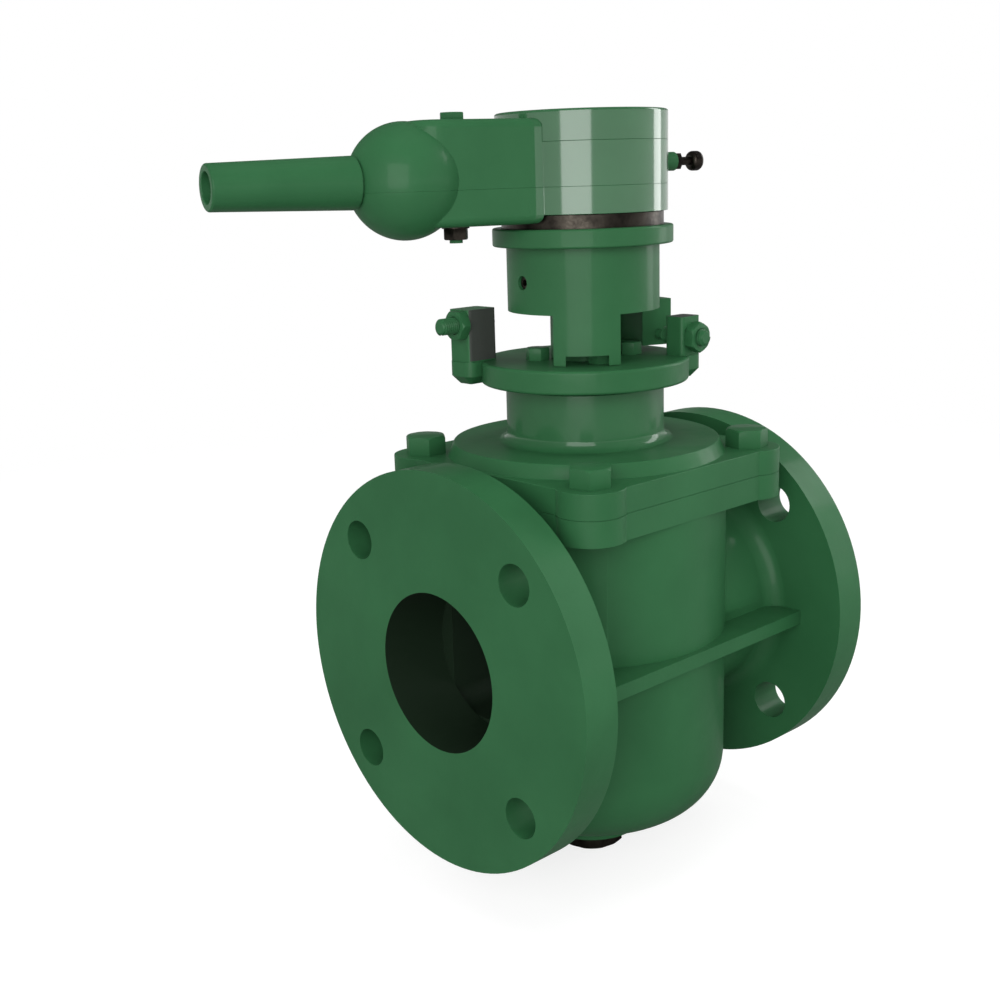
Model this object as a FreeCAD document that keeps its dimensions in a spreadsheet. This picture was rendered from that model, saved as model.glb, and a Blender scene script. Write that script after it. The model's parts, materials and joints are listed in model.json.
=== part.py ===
import FreeCAD, Part
import Sketcher
import math
import os
import re

# Flanged taper plug valve whose lever lifts the plug, turns it a quarter turn and reseats it.
# The pipe runs along X, the stem stands along Z, and the origin is the centre of the inlet face.
# Each piece is drawn about the point where the stem axis crosses the pipe axis, then placed there.

Vector = FreeCAD.Vector
Rotation = FreeCAD.Rotation
Placement = FreeCAD.Placement

doc = FreeCAD.newDocument("plug_valve")

# Driving sizes, in millimetres and degrees
SIZES = {
    # Pipe connection
    "face_to_face": 203.2,
    "flange_dia": 190.5,
    "flange_thick": 19.0,
    "bore_dia": 76.2,
    "bore_depth": 36.0,
    "hole_edge": 19.05,
    "nut_run": 20.0,
    "bolt_hole": 19.0,
    "outlet_hole_more": 0.4,
    # Body casting
    "pipe_neck_dia": 108.0,
    "pipe_neck_round": 9.0,
    "barrel_dia": 138.0,
    "barrel_foot": 98.0,
    "barrel_round": 32.0,
    "boss_dia": 54.0,
    "boss_long": 12.0,
    "web_width": 144.0,
    "web_thick": 7.0,
    "web_drop": 3.5,
    "head_under": 65.0,
    "head_thick": 11.0,
    "head_width": 139.0,
    "lug_pitch": 112.0,
    "lug_dia": 32.0,
    # Seat and port
    "seat_dia": 94.0,
    "seat_angle": 5.0,
    "seat_foot": 66.0,
    "relief_dia": 60.0,
    "relief_deep": 14.0,
    "port_width": 60.0,
    "port_height": 72.0,
    "port_corner": 10.0,
    # Bottom plug
    "drain_dia": 26.0,
    "drain_plug_hex": 31.0,
    "drain_plug_head": 11.0,
    # Taper plug and stem
    "seat_gap": 0.06,
    "taper_top": 62.0,
    "taper_foot": 60.0,
    "stem_dia": 24.0,
    "stem_root_round": 4.0,
    "stem_square": 16.6,
    "stem_round_top": 148.0,
    "stem_square_top": 190.0,
    "stem_thread": 15.0,
    "stem_top": 232.0,
    "stem_edge": 1.5,
    "taper_lift": 3.0,
    # Cover
    "gasket_thick": 1.0,
    "cover_thick": 12.0,
    "dome_foot_dia": 136.0,
    "dome_dia": 130.0,
    "dome_high": 6.5,
    "neck_dia": 77.0,
    "neck_round": 5.0,
    "neck_top": 122.0,
    "cover_hollow_dia": 90.0,
    "cover_hollow_high": 6.0,
    "cover_bolt": 11.8,
    "cover_bolt_hex": 18.0,
    "cover_bolt_head": 9.0,
    # Stem packing
    "box_dia": 38.6,
    "box_foot": 86.0,
    "packing_high": 4.5,
    "packing_count": 4,
    "packing_nut_high": 6.5,
    "spanner_slot": 5.0,
    # Stop plate
    "plate_rise": 2.0,
    "plate_thick": 11.0,
    "plate_dia": 101.0,
    "plate_seat_dia": 70.0,
    "plate_edge": 1.5,
    "plate_bolt": 5.9,
    "plate_bolt_long": 14.0,
    "plate_bolt_hex": 10.0,
    "plate_bolt_head": 6.0,
    "plate_bolt_radius": 23.6,
    "plate_bolt_dir": 152.0,
    "lug_margin": 1.0,
    "lug_corner": 2.0,
    "ear_corner": 5.0,
    "ear_slope_high": 4.0,
    "ear_slope": 45.0,
    "left_lug_x": -39.0,
    "left_lug_y": 37.0,
    "left_lug_long": 18.0,
    "left_lug_wide": 14.5,
    "left_lug_high": 25.0,
    "right_lug_x": 34.75,
    "right_lug_y": -32.8,
    "right_lug_long": 13.5,
    "right_lug_wide": 11.0,
    "right_lug_high": 18.5,
    # Stop screws
    "stop_screw": 8.0,
    "stop_tip": 5.0,
    "stop_tip_long": 3.0,
    "left_screw_rise": 18.0,
    "right_screw_rise": 8.5,
    "stop_nut_hex": 13.0,
    "stop_nut_thick": 5.0,
    "left_screw_y": 35.0,
    "left_screw_out": 14.0,
    "right_screw_x": 36.0,
    "right_screw_out": 8.0,
    # Yoke
    "running_gap": 0.3,
    "shaft_gap": 0.05,
    "bolt_gap": 0.3,
    "turn_range": 90.0,
    "sleeve_dia": 32.4,
    "skirt_dia": 73.0,
    "skirt_wall": 5.0,
    "skirt_foot": 158.5,
    "hub_foot": 164.0,
    "leg_dir": 226.0,
    "leg_width": 31.0,
    "notch_width": 20.0,
    "notch_high": 4.7,
    "sector_dia": 94.0,
    "sector_start": -23.0,
    "sector_sweep": 60.0,
    "sector_clear": 3.0,
    "sector_top": 160.5,
    "yoke_flange_dia": 86.0,
    "yoke_flange_under": 189.0,
    "yoke_flange_top": 197.5,
    "yoke_edge": 1.0,
    "spigot_dia": 52.0,
    "thread_way_dia": 19.0,
    "foot_nut_dia": 37.4,
    "foot_nut_high": 8.0,
    "foot_washer_thick": 0.9,
    "grub_dia": 6.0,
    "grub_long": 12.0,
    "grub_inset": 1.5,
    "grub_rise": 173.0,
    "grub_dir": 173.0,
    "grub_socket": 3.0,
    # Ring and collar between the yoke and the lever head
    "thrust_ring_dia": 77.0,
    "thrust_ring_high": 6.1,
    "collar_dia": 64.0,
    "collar_high": 7.0,
    # Lever head, in three layers
    "lever_dir": 166.0,
    "head_dia": 81.0,
    "keeper_high": 12.3,
    "keeper_lip": 4.0,
    "ring_high": 19.5,
    "cap_high": 13.8,
    "layer_edge": 1.2,
    "arm_foot": 200.2,
    "arm_top": 246.0,
    "arm_root_wide": 50.0,
    "arm_tip_wide": 34.0,
    "arm_long": 92.0,
    "arm_edge": 4.0,
    "knuckle_dia": 51.0,
    "knuckle_rise": 220.5,
    "cap_screw": 5.0,
    "cap_screw_radius": 35.0,
    "cap_screw_dir": 45.0,
    "cap_screw_deep": 8.0,
    "cap_screw_head": 7.0,
    "cap_screw_head_high": 5.0,
    "cap_screw_key": 4.0,
    "cap_hollow_dia": 30.0,
    "cap_hollow_high": 7.0,
    "grease_boss_dia": 9.0,
    "grease_boss_out": 53.0,
    # Lift nut
    "lift_nut_dia": 36.0,
    "lift_nut_hex": 44.0,
    "lift_nut_flange": 6.0,
    # Clamp bolt through the arm
    "clamp_inset": 24.5,
    "clamp_bolt": 6.0,
    "clamp_hex": 10.0,
    "clamp_head": 3.5,
    "clamp_washer_dia": 12.5,
    "clamp_washer": 1.0,
    "clamp_nut_high": 5.0,
    "clamp_end": 1.5,
    # Handle socket
    "socket_grip": 10.0,
    "socket_shank": 20.0,
    "socket_sunk": 1.5,
    "socket_root_dia": 23.0,
    "socket_long": 65.0,
    "socket_tip_dia": 19.6,
    "socket_bore": 13.0,
    "socket_bore_deep": 55.0,
    "socket_edge": 1.0,
    # Grease fitting
    "fitting_shank": 5.0,
    "fitting_shank_long": 7.0,
    "fitting_hex": 7.5,
    "fitting_hex_high": 3.0,
    "fitting_neck": 4.0,
    "fitting_ball": 9.5,
    "fitting_button_long": 6.5,
    "fitting_long": 16.0,
}

# Places and fits that follow from the sizes, each from those before it
LEVELS = {
    "cut_over": "1",
    "stem_x": "face_to_face / 2",
    "flange_back": "stem_x - flange_thick",
    "bore_end": "stem_x - bore_depth",
    "hole_place": "bolt_circle / 2 * cos(45)",
    "lug_place": "lug_pitch / 2",
    "bolt_circle": "flange_dia - 2 * hole_edge",
    "cover_bolt_hole": "cover_bolt + 2 * bolt_gap",
    "screw_hole": "cap_screw + 2 * bolt_gap",
    "clamp_hole": "clamp_bolt + 2 * bolt_gap",
    "clamp_out": "arm_long - clamp_inset",
    "socket_start": "arm_long - socket_grip",
    "socket_root_out": "arm_long + knuckle_dia / 2 - socket_sunk",
    "socket_tip_out": "arm_long + knuckle_dia / 2 - socket_sunk + socket_long",
    "barrel_under": "0 - barrel_foot",
    "boss_under": "barrel_under - boss_long",
    "head_top": "head_under + head_thick",
    "mouth_dia": "seat_dia + 2 * head_top * tan(seat_angle)",
    "gasket_top": "head_top + gasket_thick",
    "cover_top": "gasket_top + cover_thick",
    "dome_top": "cover_top + dome_high",
    "stem_bore": "stem_dia + 2 * shaft_gap",
    "square_hole": "stem_square + 2 * shaft_gap",
    "thread_bore": "stem_thread + 2 * shaft_gap",
    "plate_bore": "sleeve_dia + 2 * shaft_gap",
    "packing_top": "box_foot + packing_high * packing_count",
    "plate_under": "neck_top + plate_rise",
    "plate_top": "plate_under + plate_thick",
    "plate_bolt_hole": "plate_bolt + 2 * bolt_gap",
    "left_screw_level": "plate_top + left_screw_rise",
    "right_screw_level": "plate_top + right_screw_rise",
    "stop_hole": "stop_screw + 2 * bolt_gap",
    "leg_foot": "plate_top + running_gap",
    "foot_nut_top": "neck_top - running_gap - foot_washer_thick",
    "foot_nut_under": "foot_nut_top - foot_nut_high",
    "thrust_ring_top": "yoke_flange_top + thrust_ring_high",
    "keeper_under": "thrust_ring_top + running_gap",
    "keeper_top": "keeper_under + keeper_high",
    "collar_under": "keeper_under + keeper_lip + running_gap",
    "spigot_top": "collar_under + collar_high",
    "ring_top": "keeper_top + ring_high",
    "cap_top": "ring_top + cap_high",
    "grease_level": "keeper_top + ring_high / 2",
}

sheet = doc.addObject("Spreadsheet::Sheet", "Sizes")
for row, (alias, size) in enumerate(SIZES.items(), start=1):
    sheet.set(f"A{row}", alias)
    sheet.set(f"B{row}", str(size))
    sheet.setAlias(f"B{row}", alias)
doc.recompute()

levels = doc.addObject("App::VarSet", "Levels")


def bound(text):
    """The expression with each size or level pointed at the object that holds it."""
    def holder(match):
        word = match.group(0)
        if word in SIZES:
            return "Sizes." + word
        if word in LEVELS:
            return "Levels." + word
        return word
    return re.sub(r"[a-z][a-z_]*", holder, text)


for name, text in LEVELS.items():
    levels.addProperty("App::PropertyFloat", name)
    levels.setExpression(name, bound(text))
reader = doc.addObject("App::VarSet", "Reader")
reader.addProperty("App::PropertyFloat", "reading")
doc.recompute()


def number(text):
    """The present value of an expression, for picking edges and for pieces shaped in code."""
    reader.setExpression("reading", bound(text))
    reader.recompute()
    return reader.reading


def bind(thing, **places):
    """Bind properties of an object to expressions."""
    for key, text in places.items():
        thing.setExpression(key.replace("__", "."), bound(text))
    return thing


def set_place(thing, x="stem_x", y="0", z="0", turn="0"):
    """Put a piece at its place, turned about the vertical through that place."""
    thing.Placement = Placement(Vector(0, 0, 0), Rotation(Vector(0, 0, 1), 0))
    return bind(thing, Placement__Base__x=x, Placement__Base__y=y, Placement__Base__z=z,
                Placement__Rotation__Angle=turn)


# Helpers for pieces made of sketches and features

def new_body(label, z="0", turn="0"):
    body = doc.addObject("PartDesign::Body", label)
    body.Label = label
    return set_place(body, z=z, turn=turn)


def origin_plane(body, role):
    for feature in body.Origin.OriginFeatures:
        if feature.Role == role:
            return feature
    raise ValueError(role)


def new_sketch(body, name, plane, rise="0", spin="0"):
    sketch = body.newObject("Sketcher::SketchObject", name)
    sketch.AttachmentSupport = [(origin_plane(body, plane), "")]
    sketch.MapMode = "FlatFace"
    sketch.AttachmentOffset = Placement(Vector(0, 0, 0), Rotation(Vector(0, 1, 0), number(spin)))
    return bind(sketch, AttachmentOffset__Base__z=rise)


def fix_point(sketch, shape, spot, x, y):
    """Hold one point of a sketch at two bound distances from its origin."""
    for kind, text in (("DistanceX", x), ("DistanceY", y)):
        index = sketch.addConstraint(Sketcher.Constraint(kind, -1, 1, shape, spot, number(text)))
        sketch.setExpression(f"Constraints[{index}]", bound(text))


def outline(body, name, plane, corners, rise="0", spin="0"):
    """Closed outline of straight lines whose corners are at bound places."""
    sketch = new_sketch(body, name, plane, rise, spin)
    spots = [Vector(number(x), number(y), 0) for x, y in corners]
    count = len(spots)
    for index in range(count):
        sketch.addGeometry(Part.LineSegment(spots[index], spots[(index + 1) % count]), False)
    for index in range(count):
        sketch.addConstraint(Sketcher.Constraint("Coincident", index, 2, (index + 1) % count, 1))
    for index, (x, y) in enumerate(corners):
        fix_point(sketch, index, 1, x, y)
    return sketch


def rectangle(body, name, plane, x, y, wide, high, rise="0"):
    """Rectangle about a centre, with bound sides."""
    left, right = f"{x} - ({wide}) / 2", f"{x} + ({wide}) / 2"
    low, top = f"{y} - ({high}) / 2", f"{y} + ({high}) / 2"
    return outline(body, name, plane, [(left, low), (right, low), (right, top), (left, top)], rise)


def rounded_rectangle(body, name, plane, wide, high, corner, rise="0", x="0", y="0"):
    """Rectangle about a point with round corners, each side and corner bound."""
    sketch = new_sketch(body, name, plane, rise)
    middle = Vector(number(x), number(y), 0)
    half_wide, half_high, radius = number(wide) / 2, number(high) / 2, number(corner)
    long_x, long_y = half_wide - radius, half_high - radius
    spots = [(-long_x, -half_high), (long_x, -half_high), (half_wide, -long_y), (half_wide, long_y),
             (long_x, half_high), (-long_x, half_high), (-half_wide, long_y), (-half_wide, -long_y)]
    for index in range(0, 8, 2):
        start, end, after = spots[index], spots[index + 1], spots[(index + 2) % 8]
        line = Part.LineSegment(middle + Vector(*start, 0), middle + Vector(*end, 0))
        sketch.addGeometry(line, False)
        across = (index // 2) % 2 == 0
        centre = middle + Vector(end[0] if across else after[0], after[1] if across else end[1], 0)
        turn = (index // 2 - 1) * 90
        bend = Part.ArcOfCircle(Part.Circle(centre, Vector(0, 0, 1), radius),
                                math.radians(turn), math.radians(turn + 90))
        sketch.addGeometry(bend, False)
    inset_x, inset_y = f"(({wide}) / 2 - ({corner}))", f"(({high}) / 2 - ({corner}))"
    far_x, far_y = f"({wide}) / 2", f"({high}) / 2"
    signs = [(f"- {inset_x}", f"- {far_y}"), (f"+ {inset_x}", f"- {far_y}"),
             (f"+ {far_x}", f"- {inset_y}"), (f"+ {far_x}", f"+ {inset_y}"),
             (f"+ {inset_x}", f"+ {far_y}"), (f"- {inset_x}", f"+ {far_y}"),
             (f"- {far_x}", f"+ {inset_y}"), (f"- {far_x}", f"- {inset_y}")]
    ends = [(f"{x} {over}", f"{y} {up}") for over, up in signs]
    for index in range(4):
        line, bend, following = 2 * index, 2 * index + 1, (2 * index + 2) % 8
        fix_point(sketch, line, 1, *ends[2 * index])
        fix_point(sketch, line, 2, *ends[2 * index + 1])
        sketch.addConstraint(Sketcher.Constraint("Coincident", line, 2, bend, 1))
        sketch.addConstraint(Sketcher.Constraint("Coincident", bend, 2, following, 1))
        held = sketch.addConstraint(Sketcher.Constraint("Radius", bend, radius))
        sketch.setExpression(f"Constraints[{held}]", bound(corner))
    return sketch


def circle(body, name, plane, x, y, dia, rise="0"):
    sketch = new_sketch(body, name, plane, rise)
    centre = Vector(number(x), number(y), 0)
    sketch.addGeometry(Part.Circle(centre, Vector(0, 0, 1), number(dia) / 2), False)
    fix_point(sketch, 0, 3, x, y)
    index = sketch.addConstraint(Sketcher.Constraint("Diameter", 0, number(dia)))
    sketch.setExpression(f"Constraints[{index}]", bound(dia))
    return sketch


def hexagon(body, name, plane, across, rise="0", middle="0"):
    """Hexagon on the plane's upright axis, with two corners level with its centre."""
    side = f"({across}) / 2 / cos(30)"
    corners = []
    for step in range(6):
        corners.append((f"{side} * cos({60 * step})", f"{middle} + {side} * sin({60 * step})"))
    return outline(body, name, plane, corners, rise)


def feature(body, kind, name, sketch):
    thing = body.newObject("PartDesign::" + kind, name)
    thing.Profile = sketch
    sketch.Visibility = False
    return thing


def pad(body, sketch, length, reverse=False):
    thing = feature(body, "Pad", sketch.Name + "_pad", sketch)
    thing.Reversed = reverse
    bind(thing, Length=length)
    doc.recompute()
    return thing


def revolve(body, sketch, axis, angle="360"):
    thing = feature(body, "Revolution", sketch.Name + "_turned", sketch)
    thing.ReferenceAxis = (sketch, [axis])
    bind(thing, Angle=angle)
    doc.recompute()
    return thing


def cut(body, kind, sketch, set_up):
    """A cut that has to take something away."""
    doc.recompute()
    before = body.Shape.Volume
    thing = feature(body, kind, sketch.Name + "_cut", sketch)
    set_up(thing)
    doc.recompute()
    if not body.Shape.Volume < before - 0.01:
        raise ValueError(f"{thing.Name} cuts nothing")
    return thing


def pocket(body, sketch, length, reverse=False, both=False):
    def set_up(thing):
        thing.Reversed = reverse
        thing.Midplane = both
        bind(thing, Length=length)
    return cut(body, "Pocket", sketch, set_up)


def groove(body, sketch, axis, angle="360"):
    def set_up(thing):
        thing.ReferenceAxis = (sketch, [axis])
        bind(thing, Angle=angle)
    return cut(body, "Groove", sketch, set_up)


def round_about(body, original, axis, count):
    """Copies of a feature set evenly round one of the body's axes."""
    pattern = body.newObject("PartDesign::PolarPattern", original.Name + "_ring")
    pattern.Originals = [original]
    pattern.Axis = (origin_plane(body, axis), [""])
    pattern.Angle = 360
    pattern.Occurrences = count
    body.Tip = pattern
    doc.recompute()
    return pattern


def soften(body, name, radius, wanted, kind="Fillet"):
    """Round or bevel the edges of the body so far that the test picks."""
    doc.recompute()
    base = body.Tip
    names = []
    for index, edge in enumerate(base.Shape.Edges, start=1):
        if wanted(edge):
            names.append(f"Edge{index}")
    thing = body.newObject("PartDesign::" + kind, name)
    thing.Base = (base, names)
    bind(thing, **{"Radius" if kind == "Fillet" else "Size": radius})
    doc.recompute()
    return thing


def is_circle(edge, dia, place=None, axis="z"):
    """True for a whole circle of this diameter, centred at this place along the axis."""
    curve = edge.Curve
    if not isinstance(curve, Part.Circle) or not edge.isClosed():
        return False
    if abs(curve.Radius - number(dia) / 2) > 0.01:
        return False
    if abs(abs(getattr(curve.Axis, axis)) - 1) > 0.01:
        return False
    return place is None or abs(getattr(curve.Center, axis) - number(place)) < 0.01


def is_straight(edge, axis):
    if not isinstance(edge.Curve, Part.Line):
        return False
    return abs(abs(getattr(edge.Curve.Direction, axis)) - 1) < 0.001


def face_outwards(sketch, direction, out):
    """Stand a sketch of the YZ plane at a distance from the stem axis, facing away from it."""
    sketch.AttachmentOffset = Placement(Vector(0, 0, 0), Rotation(Vector(0, 1, 0), number(direction)))
    bind(sketch, AttachmentOffset__Base__x=f"({out}) * sin({direction})",
         AttachmentOffset__Base__z=f"({out}) * cos({direction})",
         AttachmentOffset__Rotation__Angle=direction)


# Helpers for pieces made of plain solids

def cylinder(name, dia, high, x="0", y="0", z="0", axis=Vector(0, 0, 1)):
    thing = doc.addObject("Part::Cylinder", name)
    thing.Placement = Placement(Vector(0, 0, 0), Rotation(Vector(0, 0, 1), axis))
    return bind(thing, Radius=f"({dia}) / 2", Height=high,
                Placement__Base__x=x, Placement__Base__y=y, Placement__Base__z=z)


def hex_bar(name, across, high, x="0", y="0", z="0", axis=Vector(0, 0, 1)):
    thing = doc.addObject("Part::Prism", name)
    thing.Polygon = 6
    thing.Placement = Placement(Vector(0, 0, 0), Rotation(Vector(0, 0, 1), axis))
    return bind(thing, Circumradius=f"({across}) / 2 / cos(30)", Height=high,
                Placement__Base__x=x, Placement__Base__y=y, Placement__Base__z=z)


def joined(name, *shapes):
    thing = doc.addObject("Part::MultiFuse", name)
    thing.Shapes = list(shapes)
    return thing


def taken(name, base, tool):
    thing = doc.addObject("Part::Cut", name)
    thing.Base = base
    thing.Tool = tool
    return thing


def ring(name, outer, inner, high, z):
    hole = cylinder(name + "_hole", inner, f"{high} + 2 * cut_over", z=f"{z} - cut_over")
    return taken(name, cylinder(name + "_blank", outer, high, z=z), hole)


def group(label, things):
    thing = doc.addObject("Part::Compound", label)
    thing.Links = things
    thing.Label = label
    return thing


def hex_screw(name, across, head, dia, length, x, y, z):
    """Upright hexagon screw whose head stands on the level z."""
    top = hex_bar(name + "_head", across, head, x, y, z)
    shank = cylinder(name + "_shank", dia, f"{length} + ({head}) / 2", x, y, f"{z} - ({length})")
    return joined(name, top, shank)


def piece(thing, label, turn="0"):
    thing.Label = label
    return set_place(thing, turn=turn)


# Shapes that several pieces share

def square_with_lugs(body, name, rise, thick):
    """Rounded square with a round lug at each corner, the form of the head and the cover."""
    plate = rectangle(body, name + "_square", "XY_Plane", "0", "0", "head_width", "head_width", rise)
    pad(body, plate, thick)
    soften(body, name + "_corners", "(head_width - lug_pitch) / 2",
           lambda edge: is_straight(edge, "z") and edge.BoundBox.ZMin > number(rise) - 0.01)
    lug = circle(body, name + "_lug", "XY_Plane", "lug_place", "lug_place", "lug_dia", rise)
    round_about(body, pad(body, lug, thick), "Z_Axis", 4)


def cut_lug_holes(body, name, rise, thick, dia):
    hole = circle(body, name + "_bolt_hole", "XY_Plane", "lug_place", "lug_place", dia,
                  f"{rise} + {thick}")
    round_about(body, pocket(body, hole, thick), "Z_Axis", 4)


def cut_port(body, name, length):
    """Rounded rectangular port along the pipe axis."""
    mouth = rounded_rectangle(body, name, "YZ_Plane", "port_width", "port_height", "port_corner")
    pocket(body, mouth, length, both=True)


def cut_plate_bolt_holes(body, name, top, deep):
    hole = circle(body, name, "XY_Plane", "plate_bolt_radius * cos(plate_bolt_dir)",
                  "plate_bolt_radius * sin(plate_bolt_dir)", "plate_bolt_hole", top)
    round_about(body, pocket(body, hole, deep), "Z_Axis", 4)


# Body casting

def make_valve_body():
    body = new_body("valve_body")
    tube = outline(body, "flanged_tube", "XZ_Plane", [
        ("0 - stem_x", "0"), ("stem_x", "0"),
        ("stem_x", "flange_dia / 2"), ("flange_back", "flange_dia / 2"),
        ("flange_back", "pipe_neck_dia / 2"), ("0 - flange_back", "pipe_neck_dia / 2"),
        ("0 - flange_back", "flange_dia / 2"), ("0 - stem_x", "flange_dia / 2")])
    revolve(body, tube, "H_Axis")
    soften(body, "flange_back_round", "pipe_neck_round",
           lambda edge: is_circle(edge, "pipe_neck_dia", None, "x")
           and abs(abs(edge.Curve.Center.x) - number("flange_back")) < 0.01)
    barrel = outline(body, "barrel", "XZ_Plane", [
        ("0", "barrel_under"), ("barrel_dia / 2", "barrel_under"),
        ("barrel_dia / 2", "head_under"), ("0", "head_under")])
    revolve(body, barrel, "V_Axis")
    soften(body, "barrel_foot_round", "barrel_round",
           lambda edge: is_circle(edge, "barrel_dia", "barrel_under"))
    boss = circle(body, "bottom_boss", "XY_Plane", "0", "0", "boss_dia", "boss_under")
    pad(body, boss, "boss_long + cut_over")
    web = rectangle(body, "side_web", "XY_Plane", "0", "0", "2 * flange_back", "web_width",
                    "0 - web_drop - web_thick / 2")
    pad(body, web, "web_thick")
    square_with_lugs(body, "head", "head_under", "head_thick")
    bore = outline(body, "pipe_bore", "XZ_Plane", [
        ("0 - stem_x - cut_over", "0"), ("0 - bore_end", "0"),
        ("0 - bore_end", "bore_dia / 2"), ("0 - stem_x - cut_over", "bore_dia / 2")])
    inlet = groove(body, bore, "H_Axis")
    outlet = body.newObject("PartDesign::Mirrored", "outlet_bore")
    outlet.Originals = [inlet]
    outlet.MirrorPlane = (origin_plane(body, "YZ_Plane"), [""])
    body.Tip = outlet
    cut_port(body, "body_port", "2 * bore_end")
    seat = outline(body, "seat", "XZ_Plane", [
        ("0", "head_top + cut_over"),
        ("seat_dia / 2 + (head_top + cut_over) * tan(seat_angle)", "head_top + cut_over"),
        ("seat_dia / 2 - seat_foot * tan(seat_angle)", "0 - seat_foot"),
        ("relief_dia / 2", "0 - seat_foot"),
        ("relief_dia / 2", "0 - seat_foot - relief_deep"),
        ("drain_dia / 2", "0 - seat_foot - relief_deep"),
        ("drain_dia / 2", "boss_under - cut_over"), ("0", "boss_under - cut_over")])
    groove(body, seat, "V_Axis")
    for end, face, dia, inward in (("inlet", "0 - stem_x", "bolt_hole", True),
                                   ("outlet", "stem_x", "bolt_hole + outlet_hole_more", False)):
        hole = circle(body, end + "_bolt_hole", "YZ_Plane", "hole_place", "hole_place", dia, face)
        drilled = pocket(body, hole, "flange_thick + nut_run", reverse=inward)
        round_about(body, drilled, "X_Axis", 4)
    cut_lug_holes(body, "head", "head_under", "head_thick", "cover_bolt_hole")
    return body


def make_bottom_plug():
    shank = cylinder("drain_plug_shank", "drain_dia - 2 * bolt_gap",
                     "boss_long + drain_plug_head / 2", z="boss_under - drain_plug_head / 2")
    head = hex_bar("drain_plug_head_bar", "drain_plug_hex", "drain_plug_head",
                   z="boss_under - drain_plug_head")
    return piece(joined("bottom_plug", shank, head), "bottom_plug")


# Taper plug with its port, stem, driving square and lift thread

def make_taper_plug():
    body = new_body("taper_plug")
    cone = outline(body, "taper", "XZ_Plane", [
        ("0", "0 - taper_foot"),
        ("seat_dia / 2 - taper_foot * tan(seat_angle) - seat_gap", "0 - taper_foot"),
        ("seat_dia / 2 + taper_top * tan(seat_angle) - seat_gap", "taper_top"),
        ("stem_dia / 2", "taper_top"), ("stem_dia / 2", "stem_round_top"), ("0", "stem_round_top")])
    revolve(body, cone, "V_Axis")
    soften(body, "stem_root", "stem_root_round", lambda edge: is_circle(edge, "stem_dia", "taper_top"))
    square = rectangle(body, "stem_square_bar", "XY_Plane", "0", "0", "stem_square", "stem_square",
                       "stem_round_top")
    pad(body, square, "stem_square_top - stem_round_top")
    thread = circle(body, "stem_thread_bar", "XY_Plane", "0", "0", "stem_thread", "stem_square_top")
    pad(body, thread, "stem_top - stem_square_top")
    soften(body, "stem_end", "stem_edge", lambda edge: is_circle(edge, "stem_thread", "stem_top"),
           "Chamfer")
    cut_port(body, "taper_port", "seat_dia + 2 * taper_top")
    return body


# Cover, gasket and stem packing

def make_cover():
    body = new_body("cover")
    square_with_lugs(body, "cover", "gasket_top", "cover_thick")
    dome = outline(body, "dome_and_neck", "XZ_Plane", [
        ("0", "cover_top - cut_over"), ("dome_foot_dia / 2", "cover_top - cut_over"),
        ("dome_foot_dia / 2", "cover_top"), ("dome_dia / 2", "dome_top"),
        ("neck_dia / 2", "dome_top"), ("neck_dia / 2", "neck_top"), ("0", "neck_top")])
    revolve(body, dome, "V_Axis")
    soften(body, "neck_foot", "neck_round", lambda edge: is_circle(edge, "neck_dia", "dome_top"))
    hollow = outline(body, "cover_hollow", "XZ_Plane", [
        ("0", "gasket_top - cut_over"), ("cover_hollow_dia / 2", "gasket_top - cut_over"),
        ("cover_hollow_dia / 2", "gasket_top + cover_hollow_high"),
        ("stem_bore / 2", "gasket_top + cover_hollow_high"), ("stem_bore / 2", "box_foot"),
        ("box_dia / 2", "box_foot"), ("box_dia / 2", "neck_top + cut_over"),
        ("0", "neck_top + cut_over")])
    groove(body, hollow, "V_Axis")
    cut_lug_holes(body, "cover", "gasket_top", "cover_thick", "cover_bolt_hole")
    cut_plate_bolt_holes(body, "neck_bolt_hole", "neck_top", "plate_bolt_long + cut_over")
    return body


def make_cover_gasket():
    body = new_body("cover_gasket")
    square_with_lugs(body, "gasket", "head_top", "gasket_thick")
    opening = circle(body, "gasket_opening", "XY_Plane", "0", "0", "mouth_dia", "gasket_top")
    pocket(body, opening, "gasket_thick")
    cut_lug_holes(body, "gasket", "head_top", "gasket_thick", "cover_bolt_hole")
    return body


def make_cover_bolts():
    bolts = []
    for index, (side_x, side_y) in enumerate(((1, 1), (-1, 1), (-1, -1), (1, -1)), start=1):
        bolts.append(hex_screw(f"cover_bolt_{index}", "cover_bolt_hex", "cover_bolt_head", "cover_bolt",
                               "cover_thick + gasket_thick + head_thick - cut_over",
                               f"{side_x} * lug_place", f"{side_y} * lug_place", "cover_top"))
    return piece(group("cover_bolts", bolts), "cover_bolts")


def make_packing_rings():
    rings = []
    for index in range(int(number("packing_count"))):
        rings.append(ring(f"packing_ring_{index + 1}", "box_dia - 2 * bolt_gap", "stem_bore",
                          "packing_high", f"box_foot + {index} * packing_high"))
    return piece(group("packing_rings", rings), "packing_rings")


def make_packing_nut():
    blank = ring("packing_nut_ring", "box_dia - 2 * bolt_gap", "stem_bore", "packing_nut_high",
                 "packing_top")
    slot = doc.addObject("Part::Box", "packing_nut_slot")
    bind(slot, Length="box_dia", Width="spanner_slot", Height="packing_nut_high",
         Placement__Base__x="0 - box_dia / 2", Placement__Base__y="0 - spanner_slot / 2",
         Placement__Base__z="packing_top + packing_nut_high / 2")
    return piece(taken("packing_nut", blank, slot), "packing_nut")


# Stop plate, its bolts and its stop screws

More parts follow.
